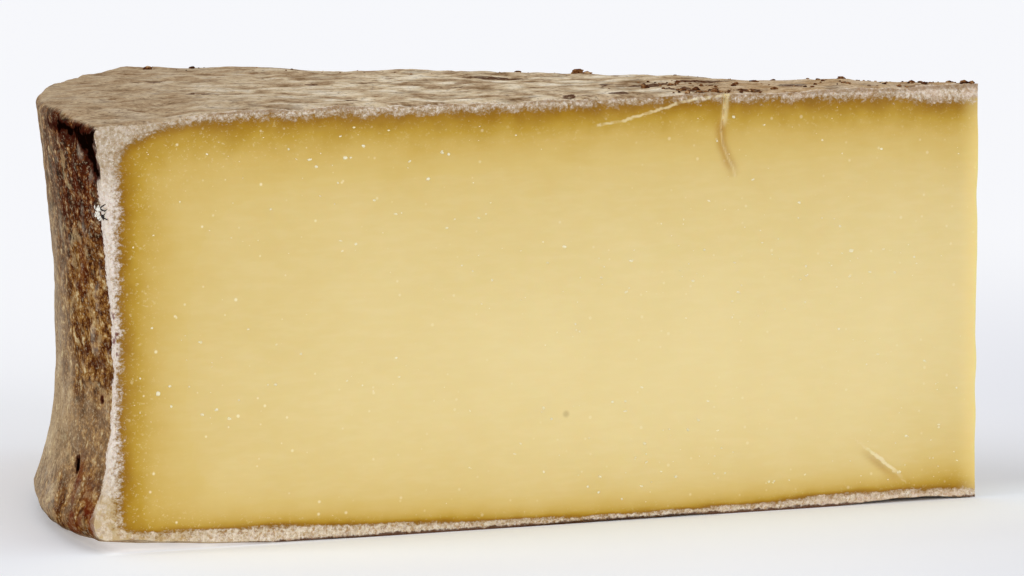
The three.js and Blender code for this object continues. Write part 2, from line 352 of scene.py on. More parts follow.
def outline_rows():
    """The wheel's outline from the middle of the top round to the middle of the underside,
    as rows of (radius, height, columns, patch)."""
    def columns_at(radius, step):
        return max(1, round(radius * WEDGE_ANGLE / step)) if radius > 0 else 0

    rows = []
    top_edge = WHEEL_RADIUS - BROW_SETBACK - BROW_ROUND
    for radius in ladder(0.0, top_edge, COARSE_STEP, FINE_RADII):
        rows.append((radius, WHEEL_HEIGHT - top_sag(radius), columns_at(radius, ROUND_STEP), "top"))

    wall_columns = rows[-1][2]
    brow_height = WHEEL_HEIGHT - top_sag(top_edge) - BROW_ROUND
    for turn in np.linspace(0, math.pi / 2, 6)[1:-1]:
        radius = top_edge + (wall_radius(brow_height) - top_edge) * math.sin(turn)
        rows.append((radius, brow_height + BROW_ROUND * math.cos(turn), wall_columns, "wall"))

    for height in ladder(FOOT_HEIGHT, brow_height, COARSE_STEP, FINE_HEIGHTS)[::-1]:
        rows.append((float(wall_radius(height)), height, wall_columns, "wall"))

    under_edge = WHEEL_RADIUS - FOOT_ROUND
    lip = FOOT_HEIGHT - underside_height(under_edge)
    for turn in np.linspace(0, math.pi / 2, 8)[1:-1]:
        rows.append((under_edge + FOOT_ROUND * math.cos(turn), FOOT_HEIGHT - lip * math.sin(turn),
                     wall_columns, "wall"))

    rows.append((under_edge, underside_height(under_edge), wall_columns, "wall"))
    for radius in ladder(0.0, under_edge - UNDERSIDE_STEP, UNDERSIDE_STEP, [])[::-1]:
        rows.append((radius, underside_height(radius), columns_at(radius, UNDERSIDE_STEP), "under"))
    return rows


def column_angles(columns):
    """The angles of a row's points, closer together towards the cuts."""
    if not columns:
        return np.zeros(1)
    share = np.linspace(0, 1, columns + 1)
    return WEDGE_ANGLE * (share - 0.5 - ROUND_CROWDING * np.sin(2 * math.pi * share) / (2 * math.pi))


def stitch(first, second):
    """Triangles between two chains of vertices side by side. Seen from outside, the first is
    on the right and both run upwards."""
    triangles = []
    i = j = 0
    while i + 1 < len(first) or j + 1 < len(second):
        first_share = (i + 1) / max(len(first) - 1, 1e-9)
        second_share = (j + 1) / max(len(second) - 1, 1e-9)
        if j + 1 < len(second) and (i + 1 == len(first) or second_share <= first_share):
            triangles.append((first[i], second[j + 1], second[j]))
            j += 1
        else:
            triangles.append((first[i], first[i + 1], second[j]))
            i += 1
    return triangles


def rind_surface(rows):
    """Points of the rind and, for each, its radius, angle, share of being on the wall and
    fine relief. Points on a cut face stay in the plane of that cut."""
    outline = np.array([(radius, height) for radius, height, _, _ in rows])
    before = outline[np.maximum(np.arange(len(rows)) - 1, 0)]
    after = outline[np.minimum(np.arange(len(rows)) + 1, len(rows) - 1)]
    outward = np.stack([before[:, 1] - after[:, 1], after[:, 0] - before[:, 0]], axis=1)
    outward[outline[:, 0] == 0, 0] = 0
    outward /= np.linalg.norm(outward, axis=1)[:, None]

    counts = np.array([columns for _, _, columns, _ in rows]) + 1
    row_of = np.repeat(np.arange(len(rows)), counts)
    angle = np.concatenate([column_angles(columns) for _, _, columns, _ in rows])
    radius, height = outline[row_of].T
    normal = outward[row_of]
    smooth = wheel_points(radius, angle, height)

    free = free_of_ground(radius, normal[:, 1] < -0.9)
    wall_share = smoothstep(normal[:, 0], 0.3, 0.9)
    fine = lumps(smooth, FINE_LUMPS) * free
    worn = dents(smooth) + edge_drop(smooth, radius, angle, wall_share)
    relief = (lumps(smooth, BROAD_LUMPS) - worn) * free + fine
    radius = np.maximum(0, radius + relief * normal[:, 0])
    height = height + relief * normal[:, 1] + slump_relief(radius, angle, height)
    height = height + ground_gaps(radius, angle) * (normal[:, 1] < -0.9)
    points = wheel_points(radius, angle, np.maximum(0, height))
    return points, radius, angle, wall_share, fine


def chains_of(rows):
    chains = []
    start = 0
    for _, _, columns, _ in rows:
        chains.append(list(range(start, start + columns + 1)))
        start += columns + 1
    return chains


def wedge_mesh():
    """The whole wedge as arrays: points, triangles, the patch of each triangle, and for each
    point its distance from the tip, share of being on the wall and fine relief."""
    rows = outline_rows()
    chains = chains_of(rows)
    points, radius, angle, wall_share, fine = rind_surface(rows)

    triangles = []
    patches = []

    def join(first, second, patch):
        made = stitch(first, second)
        triangles.extend(made)
        patches.extend([patch] * len(made))

    for index in range(len(rows) - 1):
        join(chains[index], chains[index + 1], rows[index + 1][3])

    wall = [index for index, row in enumerate(rows) if row[3] == "wall"]
    top = list(range(wall[0]))
    under = list(range(wall[-1], len(rows)))
    tip_top, tip_bottom = points[chains[0][0], 2], points[chains[-1][0], 2]
    levels = wall[:-1]

    # The tip edge, shared by both cuts, slightly blunt and uneven
    middle_row = points[[chains[index][0] for index in [top[-1]] + levels + [wall[-1]]], 2]
    shares = (middle_row[0] - middle_row[1:-1]) / (middle_row[0] - middle_row[-1])
    tip_heights = tip_top + (tip_bottom - tip_top) * shares
    tip_base = len(points)
    tip_points = np.stack([np.full(len(levels), TIP_X), np.zeros(len(levels)), tip_heights], axis=1)
    tip_points[:, 0] -= 0.14 + 0.14 * value_noise(tip_points, 5.0)
    extra = [tip_points]
    base = tip_base + len(levels)

    for end, sign, step_over in ((0, -1, 1), (-1, 1, 2)):
        top_ids = [chains[index][end] for index in top]
        under_ids = [chains[index][end] for index in reversed(under)]
        top_line = np.stack([radius[top_ids], points[top_ids, 2]], axis=1)
        under_line = np.stack([radius[under_ids], points[under_ids, 2]], axis=1)
        inner_shares = (top_line[1:-1, 0] / top_line[-1, 0])[::step_over]
        previous = top_ids
        for number, level in enumerate(levels):
            wall_id = chains[level][end]
            inner = inner_shares * radius[wall_id]
            share = (rows[top[-1]][1] - rows[level][1]) / (rows[top[-1]][1] - rows[wall[-1]][1])
            upper = np.interp(inner, *top_line.T)
            lower = np.interp(inner, *under_line.T)
            heights = upper + (lower - upper) * share
            extra.append(wheel_points(inner, np.full(len(inner), sign * WEDGE_ANGLE / 2), heights))
            chain = [tip_base + number] + list(range(base, base + len(inner))) + [wall_id]
            base += len(inner)
            join(*((chain, previous) if end else (previous, chain)), "back" if end else "front")
            previous = chain
        join(*((under_ids, previous) if end else (previous, under_ids)), "back" if end else "front")

    points = np.concatenate([points] + extra)
    flat = np.hypot(points[:, 0] - TIP_X, points[:, 1])
    added = len(points) - len(radius)
    wall_share = np.concatenate([wall_share, np.zeros(added)])
    fine = np.concatenate([fine, np.zeros(added)])
    return points, np.array(triangles), np.array(patches), flat, wall_share, fine


def cut_axes(sign):
    """The unit vectors of a cut face, -1 for the front one: away from the tip, and inwards."""
    angle = sign * WEDGE_ANGLE / 2
    away = np.array([-math.cos(angle), math.sin(angle), 0])
    inwards = np.array([math.sin(angle), math.cos(angle), 0]) * -sign
    return away, inwards


def press_front_marks(points):
    """Moves the points by the front cut's marks and returns how the marks colour them."""
    away, inwards = cut_axes(-1)
    tip = np.array([TIP_X, 0, 0])
    distance = (points - tip) @ away
    behind = (points - tip) @ inwards
    near = np.clip(1 - behind / 4, 0, 1)
    depth, pale, stain, edge_offset, edge = front_marks(distance, points[:, 2])
    points += (depth * near)[:, None] * inwards
    on_face = near > 0.97
    return pale * on_face, stain * on_face, edge_offset, edge * on_face


def uneven_cuts(points):
    """Leaves both cut faces as a knife does, very slightly wavy, but for their edges."""
    tip = np.array([TIP_X, 0, 0])
    for sign in (-1, 1):
        away, inwards = cut_axes(sign)
        distance = (points - tip) @ away
        behind = np.abs((points - tip) @ inwards)
        inner = smoothstep(paste_depth(distance, points[:, 2]), 0, 8) * smoothstep(distance, 2, 12)
        stretched = points * (0.35, 0.35, 1.0)
        wave = 0.08 * value_noise(stretched, 9.0) + 0.025 * value_noise(stretched, 2.2)
        points += (wave * inner * (behind < 0.05))[:, None] * inwards


def wedge_turn(points):
    """Each point's angle about the wheel's axis, from the wedge's middle."""
    return np.arctan2(points[:, 1], TIP_X - points[:, 0])


def around_wall(points):
    """Millimetres round the wall from the front cut."""
    return (wedge_turn(points) + WEDGE_ANGLE / 2) * WHEEL_RADIUS


def heel_marks(points, flat, wall_share):
    """The dark patch and slit on the wall, partly dark rind and partly painted shade in the
    dents under the brow and in the slit, its red mould and the dark red crumbs at the
    front cut's edge, each from 0 to 1."""
    around = around_wall(points)
    height = points[:, 2]
    on_wall = smoothstep(wall_share, 0.5, 0.9)
    ragged = 0.8 * value_noise(points, 2.6) + 0.6 * value_noise(points, 1.2)
    bar = np.abs(height - 71.3) - 1.6 + 2.4 * smoothstep(around, 20, 44)
    leg_middle = 1.2 + 0.55 * (height - 62.5)
    leg = np.maximum(np.abs(around - leg_middle) - 0.35 * (height - 61.5), np.abs(height - 68.2) - 3.2)
    dark = 1 - smoothstep(np.minimum(bar + 1.4, leg) + 1.3 * ragged, -0.8, 2.6)
    dark *= 1 - smoothstep(around, 36, 54)
    slit = 1 - smoothstep(np.hypot((around - 18) / 1.3, (height - 13.2) / 1.6), 0.6, 1.3)
    pit = 1 - smoothstep(np.hypot((around - 7.4) / 1.3, (height - 25.5) / 0.9), 0.4, 1.4)
    dark = np.maximum(dark, np.maximum(slit, 0.45 * pit)) * on_wall
    crimson = bell(around - 0.4, 1.0) * bell(height - 38.0, 6.0) * smoothstep(flat, 164.9, 165.7)
    crimson *= smoothstep(value_noise(points, 1.1), -0.2, 0.2)
    upper = bell(around - 18, 13) * bell(height - 64, 7) * smoothstep(value_noise(points, 4.0), -0.3, 0.5)
    lower = bell(around - 8, 11) * bell(height - 4, 6) * smoothstep(value_noise(points, 2.4), -0.4, 0.3)
    middle = bell(around - 17, 5) * bell(height - 48, 5) * smoothstep(value_noise(points, 2.3), -0.2, 0.4)
    beside_slit = bell(around - 14.5, 2.0) * bell(height - 11.5, 3.5)
    red = np.clip(pit + 0.45 * upper + 1.4 * lower + 0.6 * middle + 0.9 * beside_slit, 0, 1) * on_wall
    return dark, red, crimson


def top_marks(points, wall_share):
    """The brown marks on the top, from 0 to 1."""
    ragged = 1 + 0.9 * value_noise(points, 3.5) + 0.5 * value_noise(points, 1.7)
    marks = np.zeros(len(points))
    for radius, share, length, depth in TOP_MARKS:
        middle = wheel_points(radius, WEDGE_ANGLE * (share - 0.5), WHEEL_HEIGHT)
        off = np.hypot((points[:, 0] - middle[0]) / length, (points[:, 1] - middle[1]) / depth)
        marks = np.maximum(marks, 1 - smoothstep(off / np.maximum(ragged, 0.1), 0.45, 0.95))
    return marks * (1 - wall_share) * (points[:, 2] > WHEEL_HEIGHT / 2)


def bake_layout(points, patches, triangles, flat):
    """A place in the unit square for each triangle corner: every patch has its own
    rectangle, the front cut the largest."""
    angle = wedge_turn(points) / WEDGE_ANGLE + 0.5
    along = flat / (WHEEL_RADIUS + 1)
    up = points[:, 2] / (WHEEL_HEIGHT + 2)
    across = points[:, 1] / (2 * WHEEL_RADIUS * math.sin(WEDGE_ANGLE / 2) + 2) + 0.5
    length = (TIP_X - points[:, 0]) / (WHEEL_RADIUS + 1)
    places = {
        "front": (along, up, (0.0, 0.0, 1.0, 0.40)),
        "back": (along, up, (0.0, 0.40, 0.5, 0.26)),
        "wall": (angle, up, (0.5, 0.40, 0.5, 0.26)),
        "top": (length, across, (0.0, 0.66, 0.6, 0.34)),
        "under": (length, across, (0.6, 0.66, 0.4, 0.34)),
    }
    margin = 0.006
    layout = np.zeros((len(triangles), 3, 2))
    for patch, (u, v, (left, low, width, depth)) in places.items():
        corners = triangles[patches == patch]
        layout[patches == patch, :, 0] = left + margin + (width - 2 * margin) * np.clip(u[corners], 0, 1)
        layout[patches == patch, :, 1] = low + margin + (depth - 2 * margin) * np.clip(v[corners], 0, 1)
    return layout


def mesh_object(name, points, faces, materials, smooth=True):
    """A new object from points in millimetres and faces, with its materials."""
    mesh = bpy.data.meshes.new(name)
    mesh.from_pydata(np.asarray(points) * MM, [], faces)
    mesh.validate()
    mesh.polygons.foreach_set("use_smooth", np.full(len(mesh.polygons), smooth))
    for material in materials:
        mesh.materials.append(material)
    made = bpy.data.objects.new(name, mesh)
    bpy.context.scene.collection.objects.link(made)
    return made


def set_attribute(piece, name, values):
    layer = piece.data.attributes.new(name, "FLOAT", "POINT")
    layer.data.foreach_set("value", np.asarray(values, dtype=np.float32))


def make_cheese(rind, deep_paste, rim_paste):
    points, triangles, patches, flat, wall_share, fine = wedge_mesh()
    depth = paste_depth(flat, points[:, 2])
    uneven_cuts(points)
    pale, stain, edge_offset, edge = press_front_marks(points)
    dark, red, crimson = heel_marks(points, flat, wall_share)
    cheese = mesh_object("cheese", points, triangles, [rind, deep_paste, rim_paste])
    on_cut = np.isin(patches, ("front", "back"))
    near_rim = depth[triangles].min(axis=1) < RIM_DEPTH
    cheese.data.polygons.foreach_set("material_index", np.where(on_cut, 1 + near_rim, 0).astype(np.int32))
    cheese.data.set_sharp_from_angle(angle=math.radians(42))
    layout = cheese.data.uv_layers.new(name="OFBake")
    layout.data.foreach_set("uv", bake_layout(points, patches, triangles, flat).ravel())
    set_attribute(cheese, "paste_depth", depth)
    set_attribute(cheese, "rind_depth", rind_depth(flat, points[:, 2]))
    set_attribute(cheese, "from_tip", flat)
    set_attribute(cheese, "from_cut", np.maximum(0, cut_distance(flat, wedge_turn(points))))
    set_attribute(cheese, "around", around_wall(points))
    set_attribute(cheese, "wall_share", wall_share)
    set_attribute(cheese, "fine_relief", fine)
    set_attribute(cheese, "pale", pale)
    set_attribute(cheese, "stain", stain)
    set_attribute(cheese, "edge_offset", edge_offset)
    set_attribute(cheese, "torn_edge", edge)
    set_attribute(cheese, "dark_patch", dark)
    set_attribute(cheese, "red_mould", red)
    set_attribute(cheese, "crimson", crimson)
    set_attribute(cheese, "top_mark", top_marks(points, wall_share))
    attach(cheese, "root")
    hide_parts("cheese_wedge")


# Materials

def linear(code):
    """A colour such as "#e3cb8b", as Blender's linear red, green, blue and alpha."""
    parts = [int(code[i:i + 2], 16) / 255 for i in (1, 3, 5)]
    return [part / 12.92 if part <= 0.04045 else ((part + 0.055) / 1.055) ** 2.4 for part in parts] + [1.0]


class Graph:
    """A material's node tree, with a short call for each kind of node used here."""

    def __init__(self, name):
        self.material = bpy.data.materials.new(name)
        self.material.use_nodes = True
        self.tree = self.material.node_tree
        self.tree.nodes.clear()
        self.place = self.node("ShaderNodeTexCoord").outputs["Object"]

    def node(self, kind, inputs=None, **settings):
        made = self.tree.nodes.new(kind)
        for key, value in settings.items():
            setattr(made, key, value)
        for key, value in (inputs or {}).items():
            self.feed(made.inputs[key], value)
        return made

    def feed(self, socket, value):
        if isinstance(value, bpy.types.NodeSocket):
            self.tree.links.new(value, socket)
        else:
            socket.default_value = value

    def math(self, operation, a, b=0.0):
        return self.node("ShaderNodeMath", {0: a, 1: b}, operation=operation).outputs[0]

    def times(self, a, b):
        return self.math("MULTIPLY", a, b)

    def attribute(self, name):
        return self.node("ShaderNodeAttribute", attribute_name=name).outputs["Fac"]

    def noise(self, width, detail=2.0, roughness=0.55, place=None):
        """Noise from 0 to 1 whose lumps are about that many millimetres wide."""
        inputs = {"Vector": place or self.place, "Scale": 1 / (width * MM), "Detail": detail,
                  "Roughness": roughness}
        return self.node("ShaderNodeTexNoise", inputs).outputs["Fac"]

    def wobble(self, width, most, **options):
        """Noise about zero that comes near the given most on either side."""
        return self.times(self.math("SUBTRACT", self.noise(width, **options), 0.5), 4 * most)

    def cells(self, width, place=None):
        """A cell pattern: the distance to each cell's middle, as a share of the width, and a
        random colour for each cell."""
        inputs = {"Vector": place or self.place, "Scale": 1 / (width * MM)}
        made = self.node("ShaderNodeTexVoronoi", inputs)
        return made.outputs["Distance"], made.outputs["Color"]

    def stretched(self, x, y, z):
        inputs = {"Vector": self.place, "Scale": (x, y, z)}
        return self.node("ShaderNodeMapping", inputs).outputs["Vector"]

    def fade(self, value, low, high, start=0.0, end=1.0):
        """Goes from start, where value is low, to end, where it is high."""
        inputs = {"Value": value, "From Min": low, "From Max": high, "To Min": start, "To Max": end}
        return self.node("ShaderNodeMapRange", inputs, interpolation_type="SMOOTHSTEP").outputs[0]

    def ramp(self, value, stops):
        made = self.node("ShaderNodeValToRGB", {"Fac": value})
        elements = made.color_ramp.elements
        while len(elements) < len(stops):
            elements.new(0.5)
        for element, (position, code) in zip(elements, stops):
            element.position = position
            element.color = linear(code)
        return made.outputs["Color"]

    def mix(self, share, a, b):
        made = self.node("ShaderNodeMix", data_type="RGBA")
        self.feed(made.inputs[0], share)
        for socket, value in ((made.inputs[6], a), (made.inputs[7], b)):
            self.feed(socket, linear(value) if isinstance(value, str) else value)
        return made.outputs[2]

    def bump(self, height, distance, strength=1.0, below=None):
        inputs = {"Height": height, "Distance": distance * MM, "Strength": strength}
        if below:
            inputs["Normal"] = below
        return self.node("ShaderNodeBump", inputs).outputs["Normal"]

    def distance_to(self, point):
        apart = self.node("ShaderNodeVectorMath", {0: self.place, 1: tuple(point)}, operation="DISTANCE")
        return apart.outputs["Value"]

    def finish(self, inputs):
        shader = self.node("ShaderNodeBsdfPrincipled", inputs)
        self.node("ShaderNodeOutputMaterial", {"Surface": shader.outputs[0]})
        return self.material


# The paste's colour from its border inwards: depth in millimetres and colour
PASTE_COLORS = [
    (0.0, "#8a600e"),
    (1.0, "#966a0e"),
    (2.0, "#a67d1a"),
    (3.5, "#ba9533"),
    (6.0, "#ccab58"),
    (10.0, "#d6ba6f"),
    (20.0, "#dfc887"),
    (45.0, "#ebd89f"),
]
DEPTH_SCALE = 10.0
RIM_DEPTH = 10.0


def depth_share(depth):
    """A depth on the ramp's scale, which gives the first millimetres the most room."""
    return depth / (depth + DEPTH_SCALE)


def paste_dark_spot(g):
    """1 at the small dark spot in the front cut, fading to 0 round it."""
    away, inwards = cut_axes(-1)
    middle = np.array([TIP_X, 0, 0]) + away * PASTE_DARK_SPOT[0] + np.array([0, 0, PASTE_DARK_SPOT[1]])
    inputs = {0: g.place, 1: tuple(middle * MM)}
    distance = g.node("ShaderNodeVectorMath", inputs, operation="DISTANCE").outputs["Value"]
    return g.fade(distance, 0.9 * MM, 0.2 * MM)


def fleck_mask(g, width, size, kept):
    """Small soft round flecks, one to a cell: size is a fleck's widest, as a share of the
    cell, and kept is the share of cells that has one."""
    distance, random = g.cells(width)
    parts = g.node("ShaderNodeSeparateColor", {"Color": random})
    radius = g.times(parts.outputs["Green"], size)
    spot = g.math("DIVIDE", g.math("SUBTRACT", radius, distance), size * 0.5)
    spot = g.math("MINIMUM", g.math("MAXIMUM", spot, 0.0), 1.0)
    there = g.math("LESS_THAN", parts.outputs["Red"], kept)
    return g.times(spot, there)


def paste_color(g, depth):
    ragged = g.math("MAXIMUM", g.math("ADD", depth, g.wobble(5.0, 0.8)), 0.0)
    share = g.math("DIVIDE", ragged, g.math("ADD", ragged, DEPTH_SCALE))
    color = g.ramp(share, [(depth_share(d), code) for d, code in PASTE_COLORS])
    mottle = g.fade(g.noise(20.0, 1.0), 0.3, 0.7)
    color = g.mix(g.times(mottle, g.fade(depth, 0.0, 15.0, 0.02, 0.10)), color, "#f3e2b0")
    drag = g.fade(g.noise(1.3, 2.0, place=g.stretched(0.25, 0.25, 1.0)), 0.35, 0.75)
    color = g.mix(g.times(drag, g.fade(depth, 0.0, 15.0, 0.01, 0.06)), color, "#fbf0c8")
    small = g.times(fleck_mask(g, 2.0, 0.2, 0.8), g.fade(depth, 0.5, 3.0))
    color = g.mix(g.times(small, g.fade(g.attribute("from_tip"), 100.0, 150.0, 0.3, 0.7)), color, "#f8ecc4")
    color = g.mix(g.times(paste_dark_spot(g), 0.3), color, "#7d5a26")
    # Painted light: within the last few millimetres of the tip the paste turns lighter and yellower, as light shines
    # through the thin edge.
    color = g.mix(g.fade(g.attribute("from_tip"), 4.5, -0.5, 0.0, 0.55), color, "#f4da8c")
    return g.mix(g.times(g.attribute("stain"), 0.6), color, "#ab7a28")


def pale_marks_over(g, color):
    """Lays the pale torn edges of the crack, the flake and the nick over a colour."""
    color = g.mix(g.times(g.attribute("pale"), 0.8), color, "#f0dfac")
    offset = g.math("ABSOLUTE", g.math("ADD", g.attribute("edge_offset"), g.wobble(1.3, 0.2, detail=3.0)))
    torn = g.attribute("torn_edge")
    line = g.times(g.fade(offset, 0.34, 0.08), g.fade(g.noise(1.6), 0.38, 0.56, g.times(torn, torn), 1.0))
    return g.mix(g.times(line, torn), color, "#f0e0b2")


def band_color(g):
    """The pale dry band under the rind: whitish and speckled, greyer under the brow, whiter
    along the wall, rosier towards the tip and with more brown specks low down."""
    color = g.ramp(g.noise(0.7, 4.0, 0.7), [(0.34, "#9c8468"), (0.48, "#c6b49c"), (0.60, "#e2d6c6")])
    distance = g.attribute("from_tip")
    height = height_of(g)
    brow = g.fade(height, 0.059, 0.067)
    color = g.mix(g.times(g.fade(distance, 140.0, 158.0, 0.0, 0.4), brow), color, "#9c8668")
    beside_wall = g.times(g.fade(distance, 161.0, 165.0, 0.0, 0.75), g.math("SUBTRACT", 1.0, brow))
    beside_wall = g.times(beside_wall, g.fade(height, 0.004, 0.020, 0.3, 1.0))
    color = g.mix(beside_wall, color, "#eadfd4")
    low = g.fade(height, 0.009, 0.005)
    color = g.mix(g.times(low, 0.35), color, "#ead9bd")
    ochre = g.times(g.fade(g.noise(0.6, 3.0, 0.75), 0.50, 0.62), g.fade(g.attribute("paste_depth"), -5.0, -0.5))
    color = g.mix(g.times(ochre, g.fade(low, 0.0, 1.0, 0.5, 0.75)), color, "#a67c3e")
    brown = g.times(g.fade(g.noise(0.9, 3.0, 0.75), 0.54, 0.64), g.fade(low, 0.0, 1.0, 0.15, 0.65))
    color = g.mix(brown, color, "#8c5c3a")
    color = g.mix(g.fade(g.noise(0.45, 2.0, 0.7), 0.58, 0.68, 0.0, 0.5), color, "#f6efe2")
    corner = g.times(g.fade(distance, 148.0, 158.0), g.fade(height, 0.014, 0.008))
    color = g.mix(g.times(corner, g.fade(g.noise(1.5, 3.0), 0.4, 0.6, 0.15, 0.6)), color, "#b3934f")
    rosy = g.times(g.fade(distance, 75.0, 10.0), g.fade(g.noise(4.0), 0.35, 0.65))
    return g.mix(g.times(rosy, 0.35), color, "#dcc0aa")


def crimson_over(g, color):
    """Lays the dark red crumbs at the edge between the wall and the front cut over a colour."""
    crumbs = g.fade(g.math("ADD", g.attribute("crimson"), g.wobble(0.7, 0.3)), 0.35, 0.6)
    return g.mix(g.times(crumbs, 0.75), color, "#601620")


def make_deep_paste():
    g = Graph("paste_deep")
    return g.finish({
        "Base Color": pale_marks_over(g, paste_color(g, g.attribute("paste_depth"))),
        "Roughness": 0.5,
        "Specular IOR Level": 0.25,
        "Subsurface Weight": 0.25,
        "Subsurface Radius": (1.0, 0.62, 0.22),
        "Subsurface Scale": 0.002,
        "Normal": paste_normal(g),
    })


def paste_normal(g):
    drag = g.noise(0.9, 2.0, place=g.stretched(0.12, 0.12, 1.0))
    return g.bump(drag, 0.04, 0.5)


def make_rim_paste():
    g = Graph("paste_rim")
    depth = g.attribute("paste_depth")
    dragged = g.stretched(0.75, 0.75, 1.0)
    specks = g.fade(g.noise(0.55, 3.0, 0.75, place=dragged), 0.56, 0.7)
    most = g.fade(g.attribute("from_tip"), 110.0, 150.0, 0.2, 0.4)
    specks = g.times(g.times(specks, g.times(g.fade(depth, 9.0, 4.0), g.fade(depth, 0.0, 3.0, 0.5, 1.0))), most)
    color = g.mix(specks, paste_color(g, depth), "#ead9a6")

    speckle = g.wobble(0.6, 1.2, detail=4.0, roughness=0.75, place=dragged)
    speckle = g.times(speckle, g.fade(g.attribute("from_tip"), 115.0, 155.0, 1.0, 1.35))
    border = g.math("ADD", g.math("ADD", depth, speckle), g.wobble(3.0, 0.5))
    in_paste = g.fade(border, -0.9, 0.9)
    outside = g.fade(g.math("ADD", g.attribute("rind_depth"), g.wobble(0.8, 0.3)), 0.4, 0.05, 0.0, 0.6)
    outside = g.times(outside, g.fade(g.attribute("from_tip"), 163.0, 157.0))
    band = g.mix(outside, band_color(g), "#8a6a48")
    # The band's lowest fraction of a millimetre turns dark brown along the ground: partly the rind's brown sole, partly
    # painted contact shadow.
    sole_and_ground_shade = g.math("ADD", g.math("ADD", height_of(g), g.wobble(4.0, 0.0002)), g.wobble(0.9, 0.0003))
    sole_and_ground_shade = g.times(g.fade(sole_and_ground_shade, 0.0007, 0.0003, 0.0, 0.9), g.fade(g.attribute("from_tip"), 158.0, 150.0))
    band = g.mix(sole_and_ground_shade, band, "#4d2814")
    dry = g.times(g.noise(0.6, 2.0, 0.7), g.math("SUBTRACT", 1.0, in_paste))
    return g.finish({
        "Base Color": crimson_over(g, pale_marks_over(g, g.mix(in_paste, band, color))),
        "Roughness": g.fade(in_paste, 0.0, 1.0, 0.9, 0.5),
        "Specular IOR Level": 0.1,
        "Subsurface Weight": 0.1,
        "Subsurface Radius": (1.0, 0.62, 0.22),
        "Subsurface Scale": 0.001,
        "Normal": g.bump(dry, 0.25, 0.6, paste_normal(g)),
    })


def height_of(g):
    return g.node("ShaderNodeSeparateXYZ", {"Vector": g.place}).outputs["Z"]


def top_color(g):
    """The top and underside: dusty taupe, palest half way out, with brown worn spots."""
    stops = [(0.34, "#85694b"), (0.44, "#b2997a"), (0.54, "#d0bd9f"), (0.68, "#e6dac5")]
    color = g.ramp(g.noise(6.0, 4.0, 0.6), stops)
    distance = g.math("ADD", g.attribute("from_tip"), g.wobble(15.0, 12.0))
    color = g.mix(g.fade(distance, 105.0, 165.0, 0.0, 0.72), color, "#a0876a")
    color = g.mix(g.fade(distance, 66.0, 40.0, 0.0, 0.5), color, "#a67f52")
    spots = g.fade(g.noise(6.5, 3.0, 0.6), 0.62, 0.7)
    color = g.mix(g.times(spots, 0.7), color, "#6f4b2a")
    worn = g.math("ADD", g.attribute("top_mark"), g.wobble(0.9, 0.3, detail=3.0))
    worn = g.times(g.fade(worn, 0.35, 0.65), g.fade(g.attribute("top_mark"), 0.05, 0.2))
    return g.mix(g.times(worn, 0.9), color, "#451d0b")


def wall_color(g):
    """The wall: mottled brown and tan, dark under the brow near the front cut, partly painted
    shade, paler and greyer further round it, partly painted sheen, and lower down, and
    darkened along the ground by a painted shadow."""
    around = g.math("ADD", g.attribute("around"), g.wobble(13.0, 10.0, detail=3.0))
    height = g.math("ADD", height_of(g), g.wobble(9.0, 0.006))
    along = g.stretched(0.6, 0.6, 1.0)
    flecks = g.noise(1.9, 5.0, 0.78, place=along)
    plain = [(0.38, "#331506"), (0.46, "#5f3515"), (0.53, "#875b29"), (0.60, "#a98249"), (0.68, "#d6c092")]
    brown = [(0.40, "#180803"), (0.48, "#3e1a0a"), (0.55, "#613214"), (0.62, "#9a6a35"), (0.71, "#c4a570")]
    # Darker under the overhanging brow near the front cut: partly the rind's own tone, partly painted shade.
    brow_tone_and_shade = g.times(g.fade(height, 0.044, 0.058), g.fade(around, 66.0, 34.0))
    color = g.mix(brow_tone_and_shade, g.ramp(flecks, plain), g.ramp(flecks, brown))
    mottle = g.noise(4.2, 3.0, 0.6, place=along)
    color = g.mix(g.fade(mottle, 0.44, 0.34, 0.0, 0.5), color, "#b89c70")
    dark_spots = g.times(g.fade(mottle, 0.52, 0.62), g.fade(around, 60.0, 15.0, 0.25, 0.65))
    color = g.mix(dark_spots, color, "#43190a")
    # Paler and greyer further round the wall: partly the rind's own tone, partly painted sheen of the light grazing it.
    far_round_tone_and_sheen = g.times(g.fade(around, 16.0, 52.0), g.fade(height, 0.062, 0.044, 0.3, 0.62))
    color = g.mix(far_round_tone_and_sheen, color, "#b09f86")
    lower = g.times(g.fade(height, 0.032, 0.020), g.fade(height, 0.006, 0.014))
    color = g.mix(g.times(lower, g.fade(around, 8.0, 34.0, 0.3, 0.55)), color, "#b59c78")
    chips = g.fade(g.noise(1.9, 2.0, 0.6, place=along), 0.62, 0.69)
    color = g.mix(g.times(chips, 0.6), color, "#ccb890")
    # Painted shadow: the wall's lowest three millimetres darken to near black along the ground.
    return g.mix(g.fade(height_of(g), 0.0032, 0.0012, 0.0, 0.8), color, "#2a1509")


def dark_patch_over(g, color):
    """Lays the dark patch and the slit, partly painted shade, and the red mould of the wall over a colour."""
    color = g.mix(g.times(g.attribute("red_mould"), 0.7), color, "#5e1a0c")
    dark = g.math("ADD", g.attribute("dark_patch"), g.wobble(1.3, 0.35, detail=3.0))
    dark = g.times(dark, g.fade(g.attribute("dark_patch"), 0.02, 0.15))
    # Painted shade: near black in the dents under the brow and in the slit.
    color = g.mix(g.fade(dark, 0.1, 0.5, 0.0, 0.9), color, "#35120a")
    return g.mix(g.fade(dark, 0.6, 0.85), color, "#0b0301")


